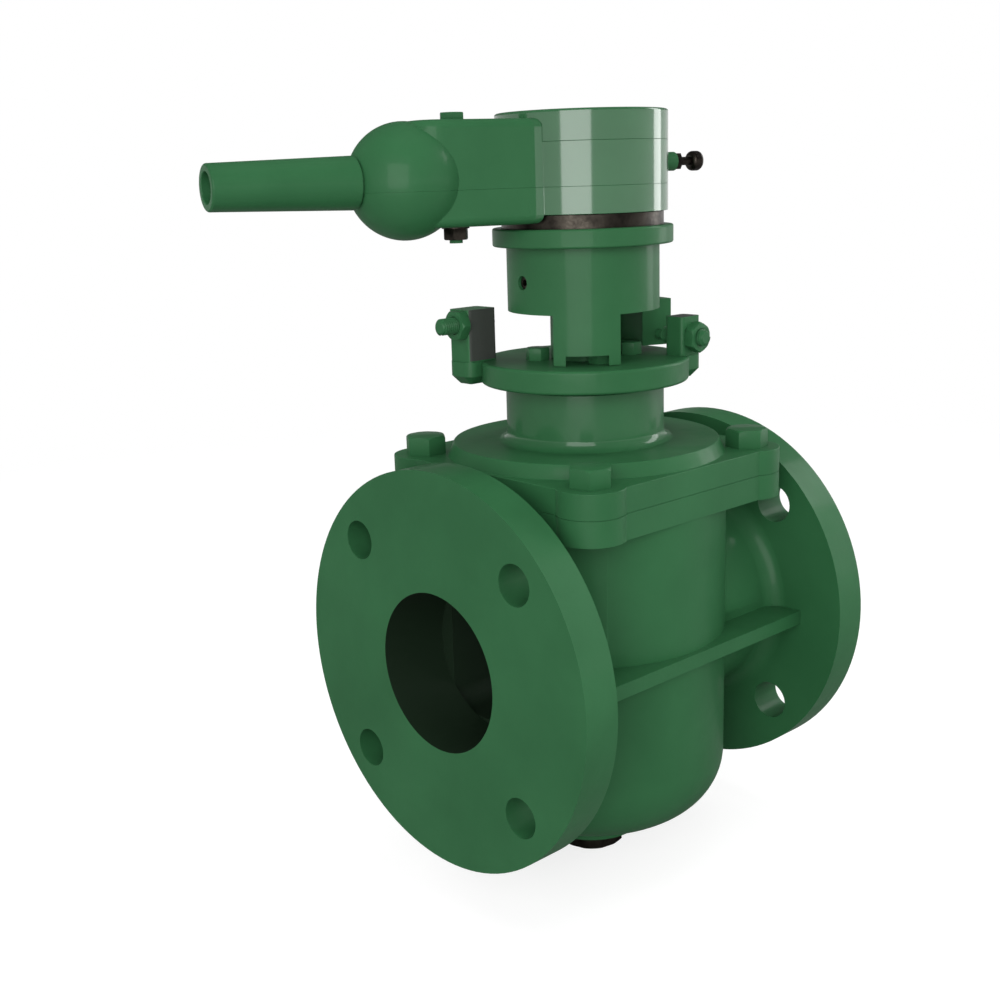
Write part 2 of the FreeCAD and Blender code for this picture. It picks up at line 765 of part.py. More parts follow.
def make_stop_plate():
    body = new_body("stop_plate")
    seat = circle(body, "plate_seat", "XY_Plane", "0", "0", "plate_seat_dia", "neck_top")
    pad(body, seat, "plate_rise + cut_over")
    disc = circle(body, "plate_disc", "XY_Plane", "0", "0", "plate_dia", "plate_under")
    pad(body, disc, "plate_thick")
    soften(body, "plate_rim", "plate_edge", lambda edge: is_circle(edge, "plate_dia"))
    for side in ("left", "right"):
        x, y = f"{side}_lug_x", f"{side}_lug_y"
        long, wide, high = f"{side}_lug_long", f"{side}_lug_wide", f"{side}_lug_high"
        ear_long, ear_wide = f"{long} + 2 * lug_margin", f"{wide} + 2 * lug_margin"
        foot = rounded_rectangle(body, side + "_ear_foot", "XY_Plane", f"{ear_long} - 2 * ear_slope_high",
                                 f"{ear_wide} - 2 * ear_slope_high", "ear_corner - ear_slope_high",
                                 "plate_under", x, y)
        slope = pad(body, foot, "ear_slope_high")
        bind(slope, TaperAngle="ear_slope")
        ear = rounded_rectangle(body, side + "_ear", "XY_Plane", ear_long, ear_wide, "ear_corner",
                                "plate_under + ear_slope_high", x, y)
        pad(body, ear, "plate_thick - ear_slope_high")
        lug = rounded_rectangle(body, side + "_lug", "XY_Plane", long, wide, "lug_corner",
                                "plate_top - cut_over", x, y)
        pad(body, lug, f"{high} + cut_over")
    bore = circle(body, "plate_bore_hole", "XY_Plane", "0", "0", "plate_bore", "plate_top")
    pocket(body, bore, "plate_thick + plate_rise + cut_over")
    cut_plate_bolt_holes(body, "plate_bolt_way", "plate_top", "plate_thick + plate_rise + cut_over")
    left = circle(body, "left_screw_way", "YZ_Plane", "left_screw_y", "left_screw_level", "stop_hole",
                  "left_lug_x")
    pocket(body, left, "left_lug_long + 2 * cut_over", both=True)
    right = circle(body, "right_screw_way", "XZ_Plane", "right_screw_x", "right_screw_level", "stop_hole",
                   "0 - right_lug_y")
    pocket(body, right, "right_lug_wide + 2 * cut_over", both=True)
    return body


def make_stop_plate_bolts():
    bolts = []
    for index in range(4):
        way = f"(plate_bolt_dir + {90 * index})"
        bolts.append(hex_screw(f"plate_bolt_{index + 1}", "plate_bolt_hex", "plate_bolt_head",
                               "plate_bolt", "plate_thick + plate_rise + plate_bolt_long",
                               f"plate_bolt_radius * cos{way}", f"plate_bolt_radius * sin{way}",
                               "plate_top"))
    return piece(group("stop_plate_bolts", bolts), "stop_plate_bolts")


# The left screw stops the closed yoke and lies along X; the right one stops it open and lies along Y
LEFT_TIP = ("(left_screw_y + stop_tip / 2) / tan(sector_start + sector_sweep + turn_range)"
            " - running_gap")
RIGHT_TIP = "(right_screw_x + stop_tip / 2) * tan(sector_start) - running_gap"
LEFT_FACE = "left_lug_x - left_lug_long / 2"
RIGHT_FACE = "right_lug_y - right_lug_wide / 2"


def make_stop_screws():
    along_x, along_y = Vector(1, 0, 0), Vector(0, 1, 0)
    left_start = f"{LEFT_FACE} - left_screw_out"
    left_shank = cylinder("left_screw_shank", "stop_screw",
                          f"{LEFT_TIP} - stop_tip_long - ({left_start})",
                          left_start, "left_screw_y", "left_screw_level", along_x)
    left_point = cylinder("left_screw_point", "stop_tip", "2 * stop_tip_long",
                          f"{LEFT_TIP} - 2 * stop_tip_long", "left_screw_y", "left_screw_level", along_x)
    right_start = f"{RIGHT_FACE} - right_screw_out"
    right_shank = cylinder("right_screw_shank", "stop_screw",
                           f"{RIGHT_TIP} - stop_tip_long - ({right_start})",
                           "right_screw_x", right_start, "right_screw_level", along_y)
    right_point = cylinder("right_screw_point", "stop_tip", "2 * stop_tip_long",
                           "right_screw_x", f"{RIGHT_TIP} - 2 * stop_tip_long", "right_screw_level",
                           along_y)
    screws = [joined("left_stop_screw", left_shank, left_point),
              joined("right_stop_screw", right_shank, right_point)]
    return piece(group("stop_screws", screws), "stop_screws")


def make_stop_screw_nuts():
    nuts = []
    places = (("left", f"{LEFT_FACE} - stop_nut_thick", "left_screw_y", Vector(1, 0, 0)),
              ("right", "right_screw_x", f"{RIGHT_FACE} - stop_nut_thick", Vector(0, 1, 0)))
    for side, x, y, axis in places:
        z = side + "_screw_level"
        bar = hex_bar(side + "_nut_bar", "stop_nut_hex", "stop_nut_thick", x, y, z, axis)
        way = cylinder(side + "_nut_way", "stop_hole", "stop_nut_thick", x, y, z, axis)
        nuts.append(taken(side + "_lock_nut", bar, way))
    return piece(group("stop_screw_nuts", nuts), "stop_screw_nuts")


# Yoke: a cup cut away to one front leg, with a sleeve down through the stop plate

def make_yoke():
    body = new_body("yoke")
    inner = "(skirt_dia / 2 - skirt_wall)"
    cup = outline(body, "yoke_cup", "XZ_Plane", [
        ("0", "hub_foot"), (inner, "hub_foot"), (inner, "leg_foot"),
        ("skirt_dia / 2", "leg_foot"), ("skirt_dia / 2", "yoke_flange_under"),
        ("yoke_flange_dia / 2", "yoke_flange_under"), ("yoke_flange_dia / 2", "yoke_flange_top"),
        ("spigot_dia / 2", "yoke_flange_top"), ("spigot_dia / 2", "spigot_top"), ("0", "spigot_top")])
    revolve(body, cup, "V_Axis")
    soften(body, "yoke_flange_rim", "yoke_edge", lambda edge: is_circle(edge, "yoke_flange_dia"))

    # Everything below the skirt foot goes, except the strip in the leg's direction
    reach = "yoke_flange_dia"
    strip = [("0", "0 - leg_width / 2"), (reach, "0 - leg_width / 2"), (reach, f"0 - {reach}"),
             (f"0 - {reach}", f"0 - {reach}"), (f"0 - {reach}", reach), (reach, reach),
             (reach, "leg_width / 2"), ("0", "leg_width / 2")]
    corners = []
    for along, across in strip:
        corners.append((f"({along}) * cos(leg_dir) - ({across}) * sin(leg_dir)",
                        f"({along}) * sin(leg_dir) + ({across}) * cos(leg_dir)"))
    windows = outline(body, "yoke_windows", "XY_Plane", corners, "skirt_foot")
    pocket(body, windows, "skirt_foot - leg_foot + cut_over")
    notch_spots = []
    for along, across in (("0", -1), (reach, -1), (reach, 1), ("0", 1)):
        notch_spots.append((f"{along} * cos(leg_dir) - {across} * notch_width / 2 * sin(leg_dir)",
                            f"{along} * sin(leg_dir) + {across} * notch_width / 2 * cos(leg_dir)"))
    notch = outline(body, "leg_notch", "XY_Plane", notch_spots, "leg_foot + notch_high")
    pocket(body, notch, "notch_high + cut_over")

    sleeve = outline(body, "yoke_sleeve", "XZ_Plane", [
        ("0", "foot_nut_under"), ("sleeve_dia / 2", "foot_nut_under"),
        ("sleeve_dia / 2", "hub_foot + cut_over"), ("0", "hub_foot + cut_over")])
    revolve(body, sleeve, "V_Axis")
    sector = outline(body, "stop_sector", "XZ_Plane", [
        (inner, "plate_top + sector_clear"), ("sector_dia / 2", "plate_top + sector_clear"),
        ("sector_dia / 2", "sector_top"), (inner, "sector_top")], spin="sector_start")
    bind(sector, AttachmentOffset__Rotation__Angle="sector_start")
    revolve(body, sector, "V_Axis", "sector_sweep")

    way = circle(body, "stem_way", "XY_Plane", "0", "0", "stem_bore", "foot_nut_under")
    pocket(body, way, "stem_round_top + taper_lift + cut_over - foot_nut_under", reverse=True)
    square = rectangle(body, "square_way", "XY_Plane", "0", "0", "square_hole", "square_hole",
                       "stem_round_top")
    pocket(body, square, "stem_square_top + taper_lift + cut_over - stem_round_top", reverse=True)
    above = circle(body, "thread_way", "XY_Plane", "0", "0", "thread_way_dia", "spigot_top")
    pocket(body, above, "spigot_top - stem_square_top - taper_lift")
    grub = circle(body, "grub_way", "YZ_Plane", "0", "grub_rise", "grub_dia + 2 * bolt_gap")
    face_outwards(grub, "grub_dir", "skirt_dia / 2 - grub_inset - grub_long")
    pocket(body, grub, "grub_long + grub_inset + cut_over", reverse=True)
    return body


def make_yoke_foot_nut():
    return piece(ring("yoke_foot_nut", "foot_nut_dia", "sleeve_dia + 2 * bolt_gap", "foot_nut_high",
                      "foot_nut_under"), "yoke_foot_nut")


def make_foot_washer():
    return piece(ring("foot_washer", "foot_nut_dia", "sleeve_dia + 2 * bolt_gap",
                      "foot_washer_thick", "foot_nut_top"), "foot_washer")


def make_thrust_ring():
    return piece(ring("thrust_ring", "thrust_ring_dia", "spigot_dia + 2 * bolt_gap",
                      "thrust_ring_high", "yoke_flange_top"), "thrust_ring")


def make_thrust_collar():
    return piece(ring("thrust_collar", "collar_dia", "spigot_dia + 2 * bolt_gap",
                      "collar_high", "collar_under"), "thrust_collar")


def make_yoke_grub_screw():
    start = "skirt_dia / 2 - grub_inset - grub_long"
    bar = cylinder("grub_bar", "grub_dia", "grub_long", start, "0", "grub_rise", Vector(1, 0, 0))
    key = hex_bar("grub_key", "grub_socket", "grub_socket + cut_over",
                  "skirt_dia / 2 - grub_inset - grub_socket", "0", "grub_rise", Vector(1, 0, 0))
    return piece(taken("yoke_grub_screw", bar, key), "yoke_grub_screw", "grub_dir")


# Lever: a head in three layers whose arm ends in a round knuckle, drawn with the arm along X

def arm_outline(body, rise):
    return outline(body, "arm", "XY_Plane", [
        ("0", "0 - arm_root_wide / 2"), ("arm_long", "0 - arm_tip_wide / 2"),
        ("arm_long", "arm_tip_wide / 2"), ("0", "arm_root_wide / 2")], rise)


def round_arm(body, level):
    """Round the arm's end in plan, then its edges on the level away from the parting plane."""
    soften(body, "arm_end", "arm_tip_wide / 2 - arm_edge",
           lambda edge: is_straight(edge, "z") and edge.BoundBox.XMin > number("arm_long") - 0.01)

    def on_level(edge):
        box = edge.BoundBox
        flat = abs(box.ZMin - number(level)) < 0.01 and abs(box.ZMax - number(level)) < 0.01
        return flat and box.XMax > number("head_dia / 2")
    soften(body, "arm_edges", "arm_edge", on_level)


def add_knuckle(body, above):
    """Ball at the arm's end, of which one side of the parting plane stays."""
    ball = body.newObject("PartDesign::AdditiveSphere", "knuckle")
    bind(ball, Radius="knuckle_dia / 2", Placement__Base__x="arm_long",
         Placement__Base__z="knuckle_rise")
    other_side = rectangle(body, "parting", "XY_Plane", "arm_long", "0", "knuckle_dia + cut_over",
                           "knuckle_dia + cut_over", "keeper_top")
    pocket(body, other_side, "knuckle_dia", reverse=not above)
    shank = outline(body, "socket_way", "XZ_Plane", [
        ("socket_start - bolt_gap", "0"), ("arm_long + knuckle_dia", "0"),
        ("arm_long + knuckle_dia", "socket_shank / 2 + bolt_gap"),
        ("socket_start - bolt_gap", "socket_shank / 2 + bolt_gap")])
    bind(shank, AttachmentOffset__Base__y="knuckle_rise")
    groove(body, shank, "H_Axis")


def drill_clamp_hole(body, top, deep):
    hole = circle(body, "clamp_way", "XY_Plane", "clamp_out", "0", "clamp_hole", top)
    pocket(body, hole, deep)


def make_lever_head():
    body = new_body("lever_head", turn="lever_dir")
    middle = circle(body, "head_ring", "XY_Plane", "0", "0", "head_dia", "keeper_top")
    pad(body, middle, "ring_high")
    pad(body, arm_outline(body, "keeper_top"), "arm_top - keeper_top")
    round_arm(body, "arm_top")
    add_knuckle(body, above=True)
    boss = circle(body, "grease_boss", "YZ_Plane", "0", "grease_level", "grease_boss_dia",
                  "0 - grease_boss_out")
    pad(body, boss, "grease_boss_out - head_dia / 2 + grease_boss_dia / 2")
    room = circle(body, "cap_room", "XY_Plane", "0", "0", "head_dia + 2 * bolt_gap", "ring_top")
    pocket(body, room, "cap_high + arm_top", reverse=True)
    nut_seat = hexagon(body, "nut_flange_room", "XY_Plane", "lift_nut_hex + 2 * bolt_gap",
                       "ring_top")
    pocket(body, nut_seat, "lift_nut_flange")
    nut_bore = circle(body, "nut_bore", "XY_Plane", "0", "0", "lift_nut_dia + 2 * bolt_gap",
                      "ring_top")
    pocket(body, nut_bore, "ring_high + cut_over")
    screw_hole = circle(body, "screw_hole", "XY_Plane", "cap_screw_radius * cos(cap_screw_dir)",
                        "cap_screw_radius * sin(cap_screw_dir)", "screw_hole", "ring_top")
    round_about(body, pocket(body, screw_hole, "cap_screw_deep + cut_over"), "Z_Axis", 4)
    drill_clamp_hole(body, "arm_top + cut_over", "arm_top")
    fitting_hole = circle(body, "fitting_hole", "YZ_Plane", "0", "grease_level",
                          "fitting_shank + 2 * bolt_gap", "0 - grease_boss_out")
    pocket(body, fitting_hole, "fitting_shank_long + cut_over", reverse=True)
    return body


def make_lever_keeper():
    body = new_body("lever_keeper", turn="lever_dir")
    pad(body, arm_outline(body, "arm_foot"), "keeper_top - arm_foot")
    round_arm(body, "arm_foot")
    room = circle(body, "ring_room", "XY_Plane", "0", "0", "head_dia", "keeper_under")
    pocket(body, room, "keeper_under - arm_foot + cut_over")
    layer = circle(body, "keeper_ring", "XY_Plane", "0", "0", "head_dia", "keeper_under")
    pad(body, layer, "keeper_high")
    add_knuckle(body, above=False)
    lip, room = "spigot_dia / 2 + running_gap", "collar_dia / 2 + running_gap"
    step = "keeper_under + keeper_lip"
    collar_room = outline(body, "collar_room", "XZ_Plane", [
        ("0", "keeper_under - cut_over"), (lip, "keeper_under - cut_over"), (lip, step),
        (room, step), (room, "keeper_top + cut_over"), ("0", "keeper_top + cut_over")])
    groove(body, collar_room, "V_Axis")
    drill_clamp_hole(body, "keeper_top + cut_over", "keeper_top")
    return body


def make_head_cap():
    body = new_body("head_cap", turn="lever_dir")
    disc = circle(body, "cap_disc", "XY_Plane", "0", "0", "head_dia", "ring_top")
    pad(body, disc, "cap_high")
    soften(body, "cap_rim", "layer_edge", lambda edge: is_circle(edge, "head_dia", "cap_top"))
    hollow = circle(body, "cap_hollow", "XY_Plane", "0", "0", "cap_hollow_dia", "ring_top")
    pocket(body, hollow, "cap_hollow_high", reverse=True)
    x, y = "cap_screw_radius * cos(cap_screw_dir)", "cap_screw_radius * sin(cap_screw_dir)"
    way = circle(body, "cap_screw_way", "XY_Plane", x, y, "screw_hole", "cap_top")
    round_about(body, pocket(body, way, "cap_high + cut_over"), "Z_Axis", 4)
    sink = circle(body, "cap_screw_sink", "XY_Plane", x, y, "cap_screw_head + 2 * bolt_gap", "cap_top")
    round_about(body, pocket(body, sink, "cap_screw_head_high"), "Z_Axis", 4)
    return body


def make_cap_screws():
    screws = []
    for index in range(4):
        way = f"(cap_screw_dir + {90 * index})"
        x, y = f"cap_screw_radius * cos{way}", f"cap_screw_radius * sin{way}"
        name = f"cap_screw_{index + 1}"
        head = cylinder(name + "_head", "cap_screw_head", "cap_screw_head_high", x, y,
                        "cap_top - cap_screw_head_high")
        shank = cylinder(name + "_shank", "cap_screw", "cap_high + cap_screw_deep - cap_screw_head_high",
                         x, y, "ring_top - cap_screw_deep")
        key = hex_bar(name + "_key", "cap_screw_key", "cap_screw_key + cut_over", x, y,
                      "cap_top - cap_screw_key")
        screws.append(taken(name, joined(name + "_solid", head, shank), key))
    return piece(group("cap_screws", screws), "cap_screws", "lever_dir")


def make_lift_nut():
    barrel = cylinder("lift_nut_barrel", "lift_nut_dia", "ring_high", z="keeper_top")
    collar = hex_bar("lift_nut_collar", "lift_nut_hex", "lift_nut_flange", z="ring_top - lift_nut_flange")
    way = cylinder("lift_nut_way", "thread_bore", "ring_high + 2 * cut_over", z="keeper_top - cut_over")
    return piece(taken("lift_nut", joined("lift_nut_solid", barrel, collar), way), "lift_nut", "lever_dir")


def make_clamp_bolt():
    screw = hex_screw("clamp_screw", "clamp_hex", "clamp_head", "clamp_bolt",
                      "arm_top - arm_foot + clamp_washer + clamp_nut_high + clamp_end",
                      "clamp_out", "0", "arm_top")
    return piece(screw, "clamp_bolt", "lever_dir")


def make_clamp_nut():
    bar = hex_bar("clamp_nut_bar", "clamp_hex", "clamp_nut_high", "clamp_out", "0",
                  "arm_foot - clamp_washer - clamp_nut_high")
    way = cylinder("clamp_nut_way", "clamp_hole", "clamp_nut_high", "clamp_out", "0",
                   "arm_foot - clamp_washer - clamp_nut_high")
    return piece(taken("clamp_nut", bar, way), "clamp_nut", "lever_dir")


def make_clamp_washer():
    disc = cylinder("clamp_washer_disc", "clamp_washer_dia", "clamp_washer", "clamp_out", "0",
                    "arm_foot - clamp_washer")
    way = cylinder("clamp_washer_way", "clamp_hole", "clamp_washer", "clamp_out", "0",
                   "arm_foot - clamp_washer")
    return piece(taken("clamp_washer_ring", disc, way), "clamp_washer", "lever_dir")


def make_handle_socket():
    body = new_body("handle_socket", turn="lever_dir")
    tube = outline(body, "socket_tube", "XZ_Plane", [
        ("socket_start", "0"), ("socket_tip_out", "0"), ("socket_tip_out", "socket_tip_dia / 2"),
        ("socket_root_out", "socket_root_dia / 2"), ("socket_root_out", "socket_shank / 2"),
        ("socket_start", "socket_shank / 2")])
    bind(tube, AttachmentOffset__Base__y="knuckle_rise")
    revolve(body, tube, "H_Axis")
    soften(body, "socket_mouth_edge", "socket_edge",
           lambda edge: is_circle(edge, "socket_tip_dia", "socket_tip_out", "x"))
    bore = outline(body, "socket_bore_profile", "XZ_Plane", [
        ("socket_tip_out - socket_bore_deep", "0"), ("socket_tip_out + cut_over", "0"),
        ("socket_tip_out + cut_over", "socket_bore / 2"),
        ("socket_tip_out - socket_bore_deep", "socket_bore / 2")])
    bind(bore, AttachmentOffset__Base__y="knuckle_rise")
    groove(body, bore, "H_Axis")
    return body


def make_grease_fitting():
    body = new_body("grease_fitting", turn="lever_dir")
    stub, neck, button = "fitting_shank / 2", "fitting_neck / 2", "fitting_ball / 2"
    face = "0 - grease_boss_out"
    end = f"{face} - fitting_long"
    profile = outline(body, "fitting_profile", "XZ_Plane", [
        (f"{face} + fitting_shank_long", "0"), (f"{face} + fitting_shank_long", stub),
        (face, stub), (face, neck), (f"{end} + fitting_button_long", neck),
        (f"{end} + fitting_button_long", button), (end, button), (end, "0")])
    bind(profile, AttachmentOffset__Base__y="grease_level")
    revolve(body, profile, "H_Axis")
    soften(body, "button_edges", "fitting_button_long / 3",
           lambda edge: is_circle(edge, "fitting_ball", None, "x"))
    collar = hexagon(body, "fitting_collar", "YZ_Plane", "fitting_hex", face, "grease_level")
    pad(body, collar, "fitting_hex_high", reverse=True)
    return body


PIECES = [
    make_valve_body(), make_bottom_plug(), make_cover_gasket(), make_cover(), make_cover_bolts(),
    make_packing_rings(), make_packing_nut(), make_stop_plate(), make_stop_plate_bolts(),
    make_stop_screws(), make_stop_screw_nuts(), make_taper_plug(), make_yoke(),
    make_yoke_foot_nut(), make_foot_washer(), make_thrust_ring(), make_thrust_collar(),
    make_yoke_grub_screw(), make_lever_keeper(), make_lever_head(), make_head_cap(),
    make_cap_screws(), make_lift_nut(), make_clamp_bolt(), make_clamp_nut(), make_clamp_washer(),
    make_handle_socket(), make_grease_fitting(),
]
doc.recompute()

for thing in doc.Objects:
    if "Invalid" in thing.State or "Error" in thing.State:
        raise ValueError(f"{thing.Name} did not build: {thing.State}")

os.makedirs("parts", exist_ok=True)
for thing in PIECES:
    shape = thing.Shape
    if shape.isNull() or not shape.isValid() or not shape.Solids:
        raise ValueError(f"{thing.Label} has no sound shape")
    shape.exportStep(f"parts/{thing.Label}.step")
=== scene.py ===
import json
import math

import bpy
from mathutils import Matrix, Vector


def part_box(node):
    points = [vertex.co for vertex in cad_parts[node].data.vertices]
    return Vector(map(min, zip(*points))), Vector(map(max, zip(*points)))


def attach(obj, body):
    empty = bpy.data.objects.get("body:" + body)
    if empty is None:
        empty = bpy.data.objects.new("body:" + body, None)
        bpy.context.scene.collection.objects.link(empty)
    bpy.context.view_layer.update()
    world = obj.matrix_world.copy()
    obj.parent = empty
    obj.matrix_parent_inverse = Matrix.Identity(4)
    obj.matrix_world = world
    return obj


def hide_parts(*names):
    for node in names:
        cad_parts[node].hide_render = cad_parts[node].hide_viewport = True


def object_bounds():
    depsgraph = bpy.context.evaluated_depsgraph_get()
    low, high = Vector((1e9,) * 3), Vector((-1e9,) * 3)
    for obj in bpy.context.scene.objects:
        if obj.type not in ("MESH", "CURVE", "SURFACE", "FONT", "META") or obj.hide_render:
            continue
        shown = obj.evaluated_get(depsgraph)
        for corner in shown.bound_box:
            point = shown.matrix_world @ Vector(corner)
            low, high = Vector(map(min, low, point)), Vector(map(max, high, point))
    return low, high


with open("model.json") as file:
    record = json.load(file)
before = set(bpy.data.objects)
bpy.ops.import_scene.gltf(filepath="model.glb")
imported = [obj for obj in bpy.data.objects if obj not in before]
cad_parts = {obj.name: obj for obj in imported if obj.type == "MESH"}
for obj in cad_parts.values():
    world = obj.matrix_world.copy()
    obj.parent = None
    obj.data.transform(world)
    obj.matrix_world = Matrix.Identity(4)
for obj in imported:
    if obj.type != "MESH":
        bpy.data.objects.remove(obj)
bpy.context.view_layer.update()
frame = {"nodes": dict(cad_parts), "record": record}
nodes = frame["nodes"]

# Places on the valve in metres, in the frame of the CAD model
STEM_X = 0.1016
BORE_RADIUS = 0.03815
PORT_HALF = (0.075, 0.0305, 0.0365)
LEFT_SCREW_Y, LEFT_SCREW_Z = 0.035, 0.153
RIGHT_SCREW_X, RIGHT_SCREW_Z = STEM_X + 0.036, 0.1435

# Zones turned smooth round the stem: radius, lowest and highest level
NECK_TURNED = (0.040, 0.0935, 0.2)
HEAD_TURNED = (0.0437, 0.0, 1.0)

# Lug faces coloured dark grey: middle and half sizes of a thin box round each face
LEFT_LUG_SIDE = ((STEM_X - 0.039, 0.0297, 0.148), (0.0088, 0.0006, 0.0124))
RIGHT_LUG_TOP = ((STEM_X + 0.03475, -0.0328, 0.1539), (0.0062, 0.005, 0.0006))


# Shader node helpers

def new_group(name, inputs, outputs):
    """Node group with named sockets; each input is (name, kind)."""
    group = bpy.data.node_groups.new(name, "ShaderNodeTree")
    for label, kind in inputs:
        group.interface.new_socket(label, in_out="INPUT", socket_type=kind)
    for label, kind in outputs:
        group.interface.new_socket(label, in_out="OUTPUT", socket_type=kind)
    return group, group.nodes.new("NodeGroupInput"), group.nodes.new("NodeGroupOutput")


def add(tree, kind, **settings):
    """New node of a kind, with its settings."""
    node = tree.nodes.new(kind)
    for key, value in settings.items():
        setattr(node, key, value)
    return node


def use_group(tree, group, coords, **values):
    """Lay a shared effect on the coordinates and set its constants."""
    node = add(tree, "ShaderNodeGroup", node_tree=group)
    tree.links.new(coords, node.inputs["Coords"])
    for label, value in values.items():
        node.inputs[label].default_value = value
    return node.outputs


def noise(tree, coords, scale, detail):
    node = add(tree, "ShaderNodeTexNoise")
    tree.links.new(coords, node.inputs["Vector"])
    node.inputs["Scale"].default_value = scale
    node.inputs["Detail"].default_value = detail
    node.inputs["Roughness"].default_value = 0.55
    return node.outputs["Fac"]


def spread(tree, value, low, high, out_low=0.0, out_high=1.0):
    """Map a value from one range to another, clamped."""
    node = add(tree, "ShaderNodeMapRange", clamp=True)
    tree.links.new(value, node.inputs["Value"])
    for label, number in (("From Min", low), ("From Max", high),
                          ("To Min", out_low), ("To Max", out_high)):
        node.inputs[label].default_value = number
    return node.outputs["Result"]


def compute(tree, operation, first, second):
    """Math node on two values."""
    node = add(tree, "ShaderNodeMath", operation=operation)
    tree.links.new(first, node.inputs[0])
    tree.links.new(second, node.inputs[1])
    return node.outputs[0]


def split(tree, vector):
    node = add(tree, "ShaderNodeSeparateXYZ")
    tree.links.new(vector, node.inputs[0])
    return node.outputs


def mix_colours(tree, amount, first, second):
    """Mix two colours, each a constant or a socket."""
    node = add(tree, "ShaderNodeMix", data_type="RGBA")
    tree.links.new(amount, node.inputs[0])
    for socket, colour in ((node.inputs[6], first), (node.inputs[7], second)):
        if isinstance(colour, tuple):
            socket.default_value = colour
        else:
            tree.links.new(colour, socket)
    return node.outputs[2]


def bump(tree, height, strength, distance):
    node = add(tree, "ShaderNodeBump")
    node.inputs["Strength"].default_value = strength
    node.inputs["Distance"].default_value = distance
    tree.links.new(height, node.inputs["Height"])
    return node.outputs["Normal"]


def object_coords(tree):
    return add(tree, "ShaderNodeTexCoord").outputs["Object"]


def distance_from(tree, parts, axes, centre):
    """Distance of a point from an axis, measured in the two directions named."""
    flat = add(tree, "ShaderNodeCombineXYZ")
    for axis in axes:
        tree.links.new(parts[axis], flat.inputs[axis])
    gap = add(tree, "ShaderNodeVectorMath", operation="DISTANCE")
    tree.links.new(flat.outputs[0], gap.inputs[0])
    gap.inputs[1].default_value = centre
    return gap.outputs["Value"]


# Shared effects

def make_cast_surface():
    """Skin of a painted casting: uneven height, patchy tone and spots dulled by dust."""
    group, inside, outside = new_group(
        "cast_surface",
        [("Coords", "NodeSocketVector")],
        [("Height", "NodeSocketFloat"), ("Tone", "NodeSocketFloat"), ("Dust", "NodeSocketFloat")])
    coords = inside.outputs["Coords"]
    coarse = noise(group, coords, 55.0, 4.0)
    fine = noise(group, coords, 420.0, 3.0)
    total = add(group, "ShaderNodeMath", operation="MULTIPLY_ADD")
    group.links.new(fine, total.inputs[0])
    total.inputs[1].default_value = 0.25
    group.links.new(coarse, total.inputs[2])
    group.links.new(total.outputs[0], outside.inputs["Height"])
    tone = spread(group, noise(group, coords, 18.0, 4.0), 0.35, 0.7)
    group.links.new(tone, outside.inputs["Tone"])
    dust = spread(group, noise(group, coords, 34.0, 5.0), 0.5, 0.75)
    group.links.new(dust, outside.inputs["Dust"])
    return group


def make_turned_zone():
    """1 within a radius of the stem and between two levels, 0 elsewhere."""
    group, inside, outside = new_group(
        "turned_zone",
        [("Coords", "NodeSocketVector"), ("Radius", "NodeSocketFloat"),
         ("Low", "NodeSocketFloat"), ("High", "NodeSocketFloat")],
        [("Zone", "NodeSocketFloat")])
    parts = split(group, inside.outputs["Coords"])
    far = distance_from(group, parts, "XY", (STEM_X, 0, 0))
    near = compute(group, "LESS_THAN", far, inside.outputs["Radius"])
    above = compute(group, "GREATER_THAN", parts["Z"], inside.outputs["Low"])
    below = compute(group, "LESS_THAN", parts["Z"], inside.outputs["High"])
    between = compute(group, "MULTIPLY", above, below)
    group.links.new(compute(group, "MULTIPLY", near, between), outside.inputs["Zone"])
    return group


def make_pipe_zone():
    """1 within a radius of the pipe axis, 0 outside."""
    group, inside, outside = new_group(
        "pipe_zone",
        [("Coords", "NodeSocketVector"), ("Radius", "NodeSocketFloat")],
        [("Zone", "NodeSocketFloat")])
    parts = split(group, inside.outputs["Coords"])
    far = distance_from(group, parts, "YZ", (0, 0, 0))
    near = compute(group, "LESS_THAN", far, inside.outputs["Radius"])
    group.links.new(near, outside.inputs["Zone"])
    return group


def make_box_zone():
    """1 inside a box given by its middle and half sizes, 0 outside."""
    group, inside, outside = new_group(
        "box_zone",
        [("Coords", "NodeSocketVector"), ("Middle", "NodeSocketVector"), ("Half", "NodeSocketVector")],
        [("Zone", "NodeSocketFloat")])
    offset = add(group, "ShaderNodeVectorMath", operation="SUBTRACT")
    group.links.new(inside.outputs["Coords"], offset.inputs[0])
    group.links.new(inside.outputs["Middle"], offset.inputs[1])
    reach = add(group, "ShaderNodeVectorMath", operation="ABSOLUTE")
    group.links.new(offset.outputs[0], reach.inputs[0])
    spot = split(group, reach.outputs[0])
    half = split(group, inside.outputs["Half"])
    along_x, along_y, along_z = (compute(group, "LESS_THAN", spot[axis], half[axis]) for axis in "XYZ")
    flat = compute(group, "MULTIPLY", along_x, along_y)
    group.links.new(compute(group, "MULTIPLY", flat, along_z), outside.inputs["Zone"])
    return group


cast_surface = make_cast_surface()
turned_zone = make_turned_zone()
pipe_zone = make_pipe_zone()
box_zone = make_box_zone()


def bare_and_shaded_passage(tree, coords):
    """Mask of the pipe bore and port walls: bare iron, coloured near black as painted shade deep in the
    passage.
    """
    bore = use_group(tree, pipe_zone, coords, Radius=BORE_RADIUS)["Zone"]
    port = use_group(tree, box_zone, coords, Middle=(STEM_X, 0, 0), Half=PORT_HALF)["Zone"]
    return compute(tree, "MAXIMUM", bore, port)


def grey_lug_faces(tree, coords):
    """Mask of the left lug's near side and the right lug's top, which are coloured dark grey."""
    side, top = (use_group(tree, box_zone, coords, Middle=middle, Half=half)["Zone"]
                 for middle, half in (LEFT_LUG_SIDE, RIGHT_LUG_TOP))
    return compute(tree, "MAXIMUM", side, top)


# Materials

